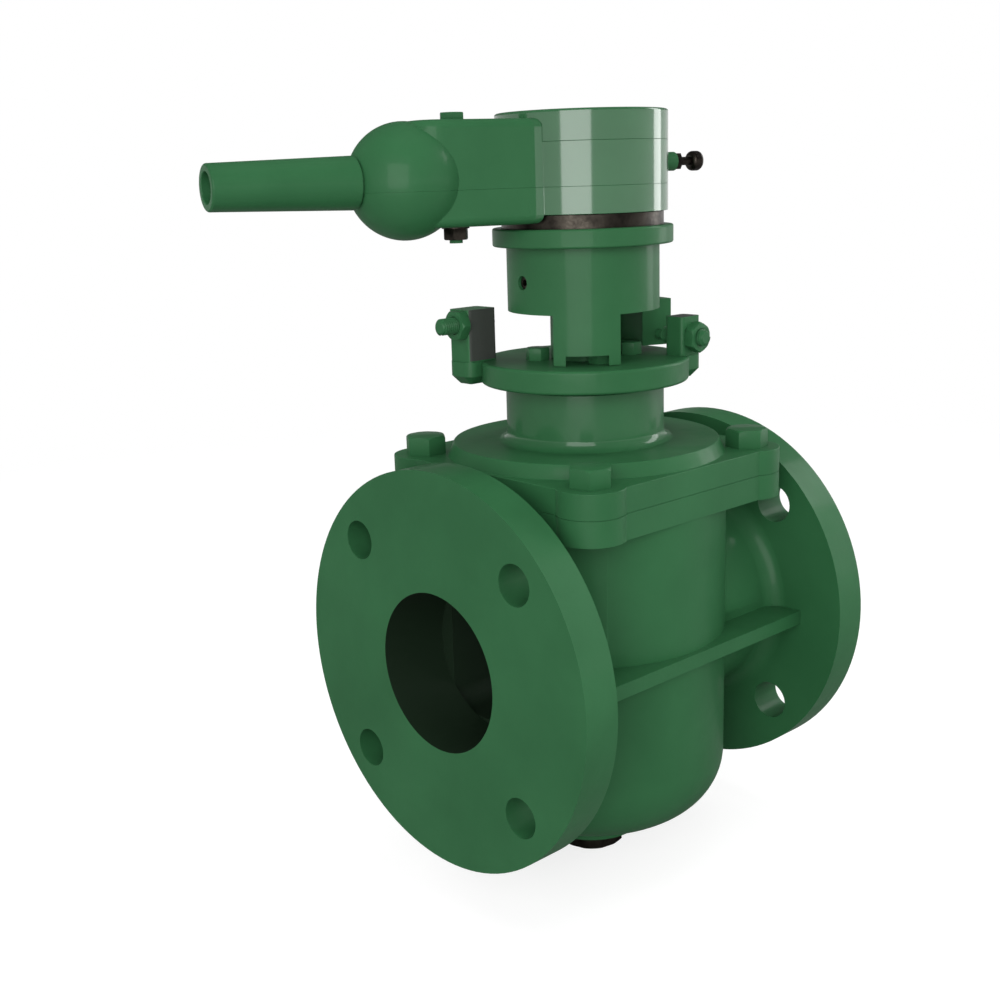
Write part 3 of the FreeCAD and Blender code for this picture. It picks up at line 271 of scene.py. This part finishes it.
PAINT_DEEP = (0.023, 0.108, 0.040, 1)
PAINT_LIGHT = (0.030, 0.130, 0.050, 1)
PAINT_ROUGHNESS = 0.5
DUST_ROUGHNESS = 0.62
PATCH_ROUGHNESS = 0.6
CASTING_GLOSS = 0.06
NECK_GLOSS = 0.35
HEAD_GLOSS = 0.85
# Bore and port walls: bare iron, darkened to near black as painted shade where the deep passage lies in
# shadow
BORE_IRON_AND_SHADE_TONE = (0.010, 0.022, 0.011, 1)
LUG_TONE = (0.055, 0.062, 0.055, 1)


def new_material(name):
    material = bpy.data.materials.new(name)
    material.use_nodes = True
    tree = material.node_tree
    tree.nodes.clear()
    shader = add(tree, "ShaderNodeBsdfPrincipled")
    out = add(tree, "ShaderNodeOutputMaterial")
    tree.links.new(shader.outputs["BSDF"], out.inputs["Surface"])
    return material, tree, shader


def painted(name, patch_mask=None, patch_tone=None, turned=None, turned_gloss=None):
    """Machine paint over a casting, replaced by a patch colour inside a mask (bare iron with painted shade in
    the passage, dark grey on the lug faces), and glossier where it was turned.
    """
    material, tree, shader = new_material(name)
    coords = object_coords(tree)
    surface = use_group(tree, cast_surface, coords)
    colour = mix_colours(tree, surface["Tone"], PAINT_DEEP, PAINT_LIGHT)
    rough = spread(tree, surface["Dust"], 0.0, 1.0, PAINT_ROUGHNESS, DUST_ROUGHNESS)
    shader.inputs["Specular IOR Level"].default_value = 0.15
    shader.inputs["Coat Roughness"].default_value = 0.1
    shader.inputs["Coat IOR"].default_value = 1.7
    shader.inputs["Coat Weight"].default_value = CASTING_GLOSS
    if patch_mask:
        mask = patch_mask(tree, coords)
        colour = mix_colours(tree, mask, colour, patch_tone)
        coat = spread(tree, mask, 0.0, 1.0, CASTING_GLOSS, 0.0)
        tree.links.new(coat, shader.inputs["Coat Weight"])
        rough = compute(tree, "MAXIMUM", rough, spread(tree, mask, 0.0, 1.0, 0.0, PATCH_ROUGHNESS))
    if turned:
        radius, low, high = turned
        zone = use_group(tree, turned_zone, coords, Radius=radius, Low=low, High=high)["Zone"]
        coat = spread(tree, zone, 0.0, 1.0, CASTING_GLOSS, turned_gloss)
        tree.links.new(coat, shader.inputs["Coat Weight"])
    tree.links.new(colour, shader.inputs["Base Color"])
    tree.links.new(rough, shader.inputs["Roughness"])
    tree.links.new(bump(tree, surface["Height"], 0.3, 0.0005), shader.inputs["Normal"])
    return material


def metal(name, deep, light, roughness, metallic=1.0):
    """Bare metal with fine grain and an uneven oxide tone."""
    material, tree, shader = new_material(name)
    coords = object_coords(tree)
    tone = spread(tree, noise(tree, coords, 120.0, 5.0), 0.35, 0.65)
    tree.links.new(mix_colours(tree, tone, deep, light), shader.inputs["Base Color"])
    grain = noise(tree, coords, 900.0, 2.0)
    rough = spread(tree, grain, 0.3, 0.7, roughness - 0.07, roughness + 0.09)
    tree.links.new(rough, shader.inputs["Roughness"])
    shader.inputs["Metallic"].default_value = metallic
    tree.links.new(bump(tree, grain, 0.12, 0.0003), shader.inputs["Normal"])
    return material


def pressed(name, deep, light, roughness, scale):
    """Pressed fibre or graphite."""
    material, tree, shader = new_material(name)
    fibres = noise(tree, object_coords(tree), scale, 4.0)
    tone = spread(tree, fibres, 0.35, 0.65)
    tree.links.new(mix_colours(tree, tone, deep, light), shader.inputs["Base Color"])
    shader.inputs["Roughness"].default_value = roughness
    tree.links.new(bump(tree, fibres, 0.3, 0.0003), shader.inputs["Normal"])
    return material


looks = {
    "green_paint": painted("green_paint"),
    "dark_bare_steel": metal("dark_bare_steel", (0.022, 0.019, 0.016, 1), (0.060, 0.052, 0.043, 1), 0.4),
    "machined_steel": metal("machined_steel", (0.42, 0.42, 0.41, 1), (0.56, 0.56, 0.55, 1), 0.3),
    # Plug iron: greased and near black, partly its real finish and partly painted shade for the dark passage
    # seen through the bore
    "plug_iron": metal("plug_iron", (0.016, 0.018, 0.016, 1), (0.030, 0.032, 0.029, 1), 0.6, 0.5),
    "bronze": metal("bronze", (0.46, 0.30, 0.13, 1), (0.58, 0.41, 0.2, 1), 0.32),
    "packing": pressed("packing", (0.02, 0.02, 0.022, 1), (0.05, 0.05, 0.052, 1), 0.6, 700.0),
    "gasket_sheet": pressed("gasket_sheet", (0.03, 0.028, 0.025, 1), (0.06, 0.056, 0.05, 1), 0.85, 500.0),
}

# Nodes whose paint differs from their slot's look; the gasket's rim is painted over with the castings
head_paint = painted("ring_paint", turned=HEAD_TURNED, turned_gloss=HEAD_GLOSS)
node_looks = {
    "valve_body": painted("body_paint", bare_and_shaded_passage, BORE_IRON_AND_SHADE_TONE),
    "stop_plate": painted("plate_paint", grey_lug_faces, LUG_TONE),
    "cover": painted("neck_paint", turned=NECK_TURNED, turned_gloss=NECK_GLOSS),
    "cover_gasket": looks["green_paint"],
    "lever_head": head_paint,
    "lever_keeper": head_paint,
    "head_cap": head_paint,
}

slots = {entry["node"]: entry["material_slot"] for entry in frame["record"]["subparts"]}
for name, thing in nodes.items():
    thing.data.materials.clear()
    thing.data.materials.append(node_looks.get(name, looks[slots[name]]))


# Edges of the castings, rounded as cast

EDGE_WIDTHS = {
    "valve_body": 0.0008, "cover": 0.0007, "stop_plate": 0.0006, "yoke": 0.0006,
    "lever_head": 0.0006, "lever_keeper": 0.0006, "head_cap": 0.0007, "handle_socket": 0.0005,
}
WELD_GAP = 0.0001
FLAT_WITHIN = math.radians(0.5)
SHARP_FROM = math.radians(40)


def ease_edges(thing, width):
    """Weld the node's loose triangles and round its sharp edges."""
    weld = thing.modifiers.new("weld", "WELD")
    weld.merge_threshold = WELD_GAP
    flat = thing.modifiers.new("flat", "DECIMATE")
    flat.decimate_type = "DISSOLVE"
    flat.angle_limit = FLAT_WITHIN
    ease = thing.modifiers.new("ease", "BEVEL")
    ease.width = width
    ease.segments = 2
    ease.limit_method = "ANGLE"
    ease.angle_limit = SHARP_FROM
    ease.use_clamp_overlap = True
    thing.modifiers.new("even", "WEIGHTED_NORMAL").keep_sharp = False


for name, width in EDGE_WIDTHS.items():
    ease_edges(nodes[name], width)


# Forms that the fasteners share, each built up the Z axis

def current():
    return bpy.context.view_layer.objects.active


def pick_only(*things):
    bpy.ops.object.select_all(action="DESELECT")
    for thing in things:
        thing.select_set(True)
    bpy.context.view_layer.objects.active = things[0]


def bar(dia, long, sides=48, foot=0.0):
    """Round or many-sided bar."""
    bpy.ops.object.select_all(action="DESELECT")
    bpy.ops.mesh.primitive_cylinder_add(vertices=sides, radius=dia / 2, depth=long,
                                        location=(0, 0, foot + long / 2))
    bpy.ops.object.transform_apply(location=True, rotation=True, scale=True)
    return current()


def bevel_rims(thing, offset, ends):
    """Bevel the round edges at the ends, given as -1 for the foot and 1 for the top."""
    low = min(v.co.z for v in thing.data.vertices)
    high = max(v.co.z for v in thing.data.vertices)
    levels = [low if end < 0 else high for end in ends]
    pick_only(thing)
    bpy.ops.object.mode_set(mode="EDIT")
    bpy.ops.mesh.select_mode(type="EDGE")
    bpy.ops.mesh.select_all(action="DESELECT")
    bpy.ops.object.mode_set(mode="OBJECT")
    for edge in thing.data.edges:
        first, second = (thing.data.vertices[i].co.z for i in edge.vertices)
        edge.select = any(abs(first - level) + abs(second - level) < 1e-7 for level in levels)
    bpy.ops.object.mode_set(mode="EDIT")
    bpy.ops.mesh.bevel(offset=offset, segments=1, affect="EDGES")
    bpy.ops.object.mode_set(mode="OBJECT")


def combine(base, other, how):
    """Join or cut two closed pieces into one."""
    pick_only(base)
    tool = base.modifiers.new("tool", "BOOLEAN")
    tool.operation = how
    tool.solver = "EXACT"
    tool.object = other
    bpy.ops.object.modifier_apply(modifier="tool")
    bpy.data.objects.remove(other)
    return base


def hexagon(across, high, ends, foot=0.0):
    """Hexagon bar whose corners are turned off at the ends named, by a bevelled disc a hair larger."""
    corner = across / math.sqrt(3)
    head = bar(2 * corner, high, 6, foot)
    lathe = bar(2.002 * corner, high * 1.0002, 64, foot - high * 0.0001)
    bevel_rims(lathe, (corner - across / 2) * 0.85, ends)
    return combine(head, lathe, "INTERSECT")


def thread(dia, pitch, long):
    """Bar with a raised helical thread and coned ends."""
    core = bar(dia - pitch, long)
    bevel_rims(core, pitch * 0.5, (-1, 1))
    bpy.ops.object.select_all(action="DESELECT")
    bpy.ops.mesh.primitive_circle_add(vertices=3, radius=pitch * 0.5, fill_type="NOTHING")
    ridge = current()
    root, crest = dia / 2 - pitch * 0.56, dia / 2
    profile = ((root, 0, 0.1 * pitch), (crest, 0, 0.5 * pitch), (root, 0, 0.9 * pitch))
    for vertex, spot in zip(ridge.data.vertices, profile):
        vertex.co = spot
    wind = ridge.modifiers.new("wind", "SCREW")
    wind.axis = "Z"
    wind.screw_offset = pitch
    wind.iterations = int(long / pitch) - 1
    wind.steps = wind.render_steps = 32
    pick_only(ridge)
    bpy.ops.object.modifier_apply(modifier="wind")
    bpy.ops.object.mode_set(mode="EDIT")
    bpy.ops.mesh.select_all(action="SELECT")
    bpy.ops.mesh.fill_holes(sides=3)
    bpy.ops.mesh.normals_make_consistent(inside=False)
    bpy.ops.object.mode_set(mode="OBJECT")
    return combine(core, ridge, "UNION")


def place(model, spot, axis="Z", spin=0.0):
    """Copy of a model with its foot at a spot, its Z axis turned onto the axis named."""
    copy = bpy.data.objects.new(model.name, model.data.copy())
    bpy.context.scene.collection.objects.link(copy)
    turns = {"Z": (0, 0, spin), "X": (0, math.radians(90), 0), "Y": (math.radians(-90), 0, 0)}
    copy.rotation_euler = turns[axis]
    copy.location = spot
    pick_only(copy)
    bpy.ops.object.transform_apply(location=True, rotation=True, scale=True)
    return copy


def discard(*models):
    for model in models:
        bpy.data.objects.remove(model)


def make_piece(name, copies, body, slot, node, edge=0.00015):
    """Join the copies as one finished piece that rides on a body in place of a node."""
    pick_only(*copies)
    if len(copies) > 1:
        bpy.ops.object.join()
    piece = current()
    piece.name = piece.data.name = name
    soft = piece.modifiers.new("soft", "BEVEL")
    soft.width = edge
    soft.segments = 2
    soft.limit_method = "ANGLE"
    soft.angle_limit = math.radians(28)
    bpy.ops.object.modifier_apply(modifier="soft")
    bpy.ops.object.shade_smooth_by_angle(angle=math.radians(35))
    piece.data.materials.clear()
    piece.data.materials.append(looks[slot])
    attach(piece, body)
    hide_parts(node)


def axis_and_levels(node):
    """Middle of a node across, and its lowest and highest level."""
    low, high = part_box(node)
    return (low[0] + high[0]) / 2, (low[1] + high[1]) / 2, low[2], high[2]


# Fasteners, modelled once and copied; sizes in metres

def make_cover_bolts():
    """Four hexagon bolts in the cover's corner lugs."""
    across, head, shank, half_pitch = 0.018, 0.009, 0.0118, 0.056
    first_turn, next_turn = 12, 17
    low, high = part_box("cover_bolts")
    long = high[2] - low[2] - head
    bolt = combine(hexagon(across, head, (1,)), bar(shank, long, 32, -long), "UNION")
    spots = [(STEM_X + side_x * half_pitch, side_y * half_pitch, high[2] - head)
             for side_x in (-1, 1) for side_y in (-1, 1)]
    copies = [place(bolt, spot, spin=math.radians(first_turn + next_turn * index))
              for index, spot in enumerate(spots)]
    discard(bolt)
    make_piece("cover_bolts_detail", copies, "valve", "green_paint", "cover_bolts")


def make_plate_bolts():
    """Four small bolts in a circle that hold the stop plate on the neck."""
    across, head, shank, long, sunk = 0.010, 0.006, 0.0059, 0.006, 0.001
    circle_radius, first_angle = 0.0236, 152
    _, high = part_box("stop_plate_bolts")
    bolt = combine(hexagon(across, head, (1,)), bar(shank, long, 24, sunk - long), "UNION")
    copies = []
    for index in range(4):
        angle = math.radians(first_angle + 90 * index)
        spot = (STEM_X + circle_radius * math.cos(angle), circle_radius * math.sin(angle), high[2] - head)
        copies.append(place(bolt, spot, spin=angle))
    discard(bolt)
    make_piece("plate_bolts_detail", copies, "valve", "green_paint", "stop_plate_bolts")


def make_stop_screws():
    """Two threaded screws through the lugs, each with a plain tip towards the stop sector."""
    dia, pitch, tip_dia, tip_long, tip_sunk = 0.008, 0.00125, 0.005, 0.006, 0.0029
    left, right = (combine(thread(dia, pitch, long), bar(tip_dia, tip_long, 32, long - tip_sunk), "UNION")
                   for long in (0.0304, 0.0266))
    copies = [place(left, (STEM_X - 0.062, LEFT_SCREW_Y, LEFT_SCREW_Z), "X"),
              place(right, (RIGHT_SCREW_X, -0.0463, RIGHT_SCREW_Z), "Y")]
    discard(left, right)
    make_piece("stop_screws_detail", copies, "valve", "green_paint", "stop_screws", 0.00005)


def make_lock_nuts():
    """A nut on each stop screw, tight against its lug."""
    across, high, hole, over = 0.013, 0.005, 0.0086, 0.001
    nut = combine(hexagon(across, high, (-1, 1)), bar(hole, high + 2 * over, 48, -over), "DIFFERENCE")
    copies = [place(nut, (STEM_X - 0.053, LEFT_SCREW_Y, LEFT_SCREW_Z), "X"),
              place(nut, (RIGHT_SCREW_X, -0.0433, RIGHT_SCREW_Z), "Y")]
    discard(nut)
    make_piece("lock_nuts_detail", copies, "valve", "green_paint", "stop_screw_nuts")


def make_clamp_bolt():
    """Bolt that clamps the lever's arm, its head painted over."""
    across, head, shank, sunk = 0.010, 0.0035, 0.006, 0.0005
    x, y, low, high = axis_and_levels("clamp_bolt")
    bolt = combine(hexagon(across, head, (1,), high - head),
                   bar(shank, high - low - head + sunk, 32, low), "UNION")
    copy = place(bolt, (x, y, 0), spin=0.4)
    discard(bolt)
    make_piece("clamp_bolt_detail", [copy], "lever", "green_paint", "clamp_bolt")


def make_clamp_nut():
    """Nut on the clamp bolt's lower end, left bare."""
    across, hole, over = 0.010, 0.0066, 0.001
    x, y, low, high = axis_and_levels("clamp_nut")
    nut = combine(hexagon(across, high - low, (-1,), low),
                  bar(hole, high - low + 2 * over, 48, low - over), "DIFFERENCE")
    copy = place(nut, (x, y, 0), spin=0.15)
    discard(nut)
    make_piece("clamp_nut_detail", [copy], "lever", "dark_bare_steel", "clamp_nut")


def make_bottom_plug():
    """Hexagon-headed plug screwed into the boss under the barrel."""
    across, head, shank, sunk = 0.031, 0.011, 0.0174, 0.001
    x, y, low, high = axis_and_levels("bottom_plug")
    plug = combine(hexagon(across, head, (-1,), low),
                   bar(shank, high - low - head + sunk, 48, low + head - sunk), "UNION")
    copy = place(plug, (x, y, 0), spin=0.3)
    discard(plug)
    make_piece("bottom_plug_detail", [copy], "valve", "dark_bare_steel", "bottom_plug", 0.0003)


make_cover_bolts()
make_plate_bolts()
make_stop_screws()
make_lock_nuts()
make_clamp_bolt()
make_clamp_nut()
make_bottom_plug()


# Camera where the photograph was taken

CAMERA_SPOT = (-0.35822, -0.43839, 0.22190)
CAMERA_COMPASS, CAMERA_TILT, CAMERA_ROLL = 42.47, 13.96, -1.78
CAMERA_LENS = 47.01
SENSOR_WIDTH = 36.0


def look_from(spot, compass, tilt, roll, lens):
    """Camera at a spot, turned by compass angle, downward tilt and roll, all in degrees."""
    compass, tilt, roll = math.radians(compass), math.radians(tilt), math.radians(roll)
    forward = Vector((math.sin(compass) * math.cos(tilt), math.cos(compass) * math.cos(tilt),
                      -math.sin(tilt)))
    right = Vector((math.cos(compass), -math.sin(compass), 0.0))
    up = right.cross(forward)
    right, up = (math.cos(roll) * right + math.sin(roll) * up,
                 -math.sin(roll) * right + math.cos(roll) * up)
    data = bpy.data.cameras.new("photo_camera")
    data.lens = lens
    data.sensor_width = SENSOR_WIDTH
    data.clip_start = 0.01
    camera = bpy.data.objects.new("photo_camera", data)
    axes = Matrix((right, up, -forward)).transposed().to_4x4()
    camera.matrix_world = Matrix.Translation(Vector(spot)) @ axes
    bpy.context.scene.collection.objects.link(camera)
    bpy.context.scene.camera = camera


look_from(CAMERA_SPOT, CAMERA_COMPASS, CAMERA_TILT, CAMERA_ROLL, CAMERA_LENS)


# Studio: soft lamps, pale floor and white backdrop

VALVE_MIDDLE = Vector((STEM_X, 0.0, 0.06))
HEAD_MIDDLE = Vector((STEM_X, 0.0, 0.16))

# Name, place, target, size, power, and whether the lamp leaves a highlight on the gloss
LAMPS = (
    ("key", (-0.94, -0.78, 0.45), HEAD_MIDDLE, (0.95, 1.1), 13, True),
    ("fill", (-1.5, 0.35, 0.6), VALVE_MIDDLE, (1.0, 1.2), 4, False),
    ("front", (0.6, -1.4, 0.55), VALVE_MIDDLE, (0.9, 1.0), 8, False),
    ("side", (1.5, -0.45, 0.55), VALVE_MIDDLE, (0.5, 1.2), 9, True),
    ("back", (-0.5, 1.5, 1.6), VALVE_MIDDLE, (1.2, 1.0), 11, False),
    ("top", (0.1, -0.1, 1.6), VALVE_MIDDLE, (0.8, 0.8), 6, False),
)

FLOOR_SIZE = 12.0
FLOOR_GAP = 0.0004
FLOOR_TONE = (0.32, 0.32, 0.32, 1)
FLOOR_GLOW = 0.78
FLOOR_WHITE_FROM, FLOOR_WHITE_TO = 0.3, 1.2
MIRRORED_WHITE_FROM, MIRRORED_WHITE_TO = 0.8, 5.0
BOUNCE_TONE = (0.35, 0.35, 0.35, 1)
WHITE = (1, 1, 1, 1)
AMBIENT = 0.34
BAND_LOW, BAND_HIGH = 0.04, 0.16
GLOSS_CEILING = 0.15


def area_light(name, spot, target, size, power, mirrored):
    data = bpy.data.lights.new(name, "AREA")
    data.shape = "RECTANGLE"
    data.size, data.size_y = size
    data.energy = power
    light = bpy.data.objects.new(name, data)
    light.location = spot
    light.visible_glossy = mirrored
    light.rotation_euler = (target - Vector(spot)).to_track_quat("-Z", "Y").to_euler()
    bpy.context.scene.collection.objects.link(light)


def floor_material(level):
    """Pale near the valve, where it keeps the shadow, white further out, and a dull grey in bounced light."""
    material = bpy.data.materials.new("floor_white")
    material.use_nodes = True
    tree = material.node_tree
    tree.nodes.clear()
    reach = add(tree, "ShaderNodeVectorMath", operation="DISTANCE")
    tree.links.new(object_coords(tree), reach.inputs[0])
    reach.inputs[1].default_value = (STEM_X, 0.0, level)
    far = reach.outputs["Value"]

    pale = add(tree, "ShaderNodeBsdfDiffuse")
    pale.inputs["Color"].default_value = FLOOR_TONE
    near_glow = add(tree, "ShaderNodeEmission")
    near_glow.inputs["Strength"].default_value = FLOOR_GLOW
    near = add(tree, "ShaderNodeAddShader")
    tree.links.new(pale.outputs[0], near.inputs[0])
    tree.links.new(near_glow.outputs[0], near.inputs[1])
    shown = add(tree, "ShaderNodeMixShader")
    tree.links.new(spread(tree, far, FLOOR_WHITE_FROM, FLOOR_WHITE_TO), shown.inputs[0])
    tree.links.new(near.outputs[0], shown.inputs[1])
    tree.links.new(add(tree, "ShaderNodeEmission").outputs[0], shown.inputs[2])

    bounce = add(tree, "ShaderNodeBsdfDiffuse")
    bounce.inputs["Color"].default_value = BOUNCE_TONE
    rays = add(tree, "ShaderNodeLightPath").outputs
    mirrored = compute(tree, "MULTIPLY", rays["Is Glossy Ray"],
                       spread(tree, far, MIRRORED_WHITE_FROM, MIRRORED_WHITE_TO))
    eye = compute(tree, "MAXIMUM", rays["Is Camera Ray"], rays["Is Transmission Ray"])
    final = add(tree, "ShaderNodeMixShader")
    tree.links.new(compute(tree, "MAXIMUM", eye, mirrored), final.inputs[0])
    tree.links.new(bounce.outputs[0], final.inputs[1])
    tree.links.new(shown.outputs[0], final.inputs[2])
    out = add(tree, "ShaderNodeOutputMaterial")
    tree.links.new(final.outputs[0], out.inputs["Surface"])
    return material


def make_floor():
    """Floor just under the valve's lowest point."""
    low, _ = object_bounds()
    bpy.ops.object.select_all(action="DESELECT")
    bpy.ops.mesh.primitive_plane_add(size=FLOOR_SIZE, location=(0, 0, 0))
    floor = current()
    for vertex in floor.data.vertices:
        vertex.co.z = low[2] - FLOOR_GAP
    floor.name = "floor"
    floor.data.materials.append(floor_material(low[2]))


def make_world():
    """Even soft light; white to the eye, and in the gloss a white band above the floor."""
    world = bpy.data.worlds.new("studio")
    bpy.context.scene.world = world
    world.use_nodes = True
    tree = world.node_tree
    tree.nodes.clear()
    height = split(tree, add(tree, "ShaderNodeTexCoord").outputs["Generated"])["Z"]
    band = spread(tree, height, BAND_LOW, BAND_HIGH, 1.0, GLOSS_CEILING)
    rays = add(tree, "ShaderNodeLightPath").outputs
    glossy = compute(tree, "MAXIMUM", rays["Is Glossy Ray"], rays["Is Transmission Ray"])
    soft = add(tree, "ShaderNodeMix", data_type="FLOAT")
    tree.links.new(glossy, soft.inputs[0])
    soft.inputs[2].default_value = AMBIENT
    tree.links.new(band, soft.inputs[3])
    strength = add(tree, "ShaderNodeMix", data_type="FLOAT")
    tree.links.new(rays["Is Camera Ray"], strength.inputs[0])
    tree.links.new(soft.outputs[0], strength.inputs[2])
    strength.inputs[3].default_value = 1.0
    light = add(tree, "ShaderNodeBackground")
    light.inputs["Color"].default_value = WHITE
    tree.links.new(strength.outputs[0], light.inputs["Strength"])
    out = add(tree, "ShaderNodeOutputWorld")
    tree.links.new(light.outputs[0], out.inputs[0])


for lamp in LAMPS:
    area_light(*lamp)
make_floor()
make_world()
bpy.context.scene.view_settings.view_transform = "Standard"
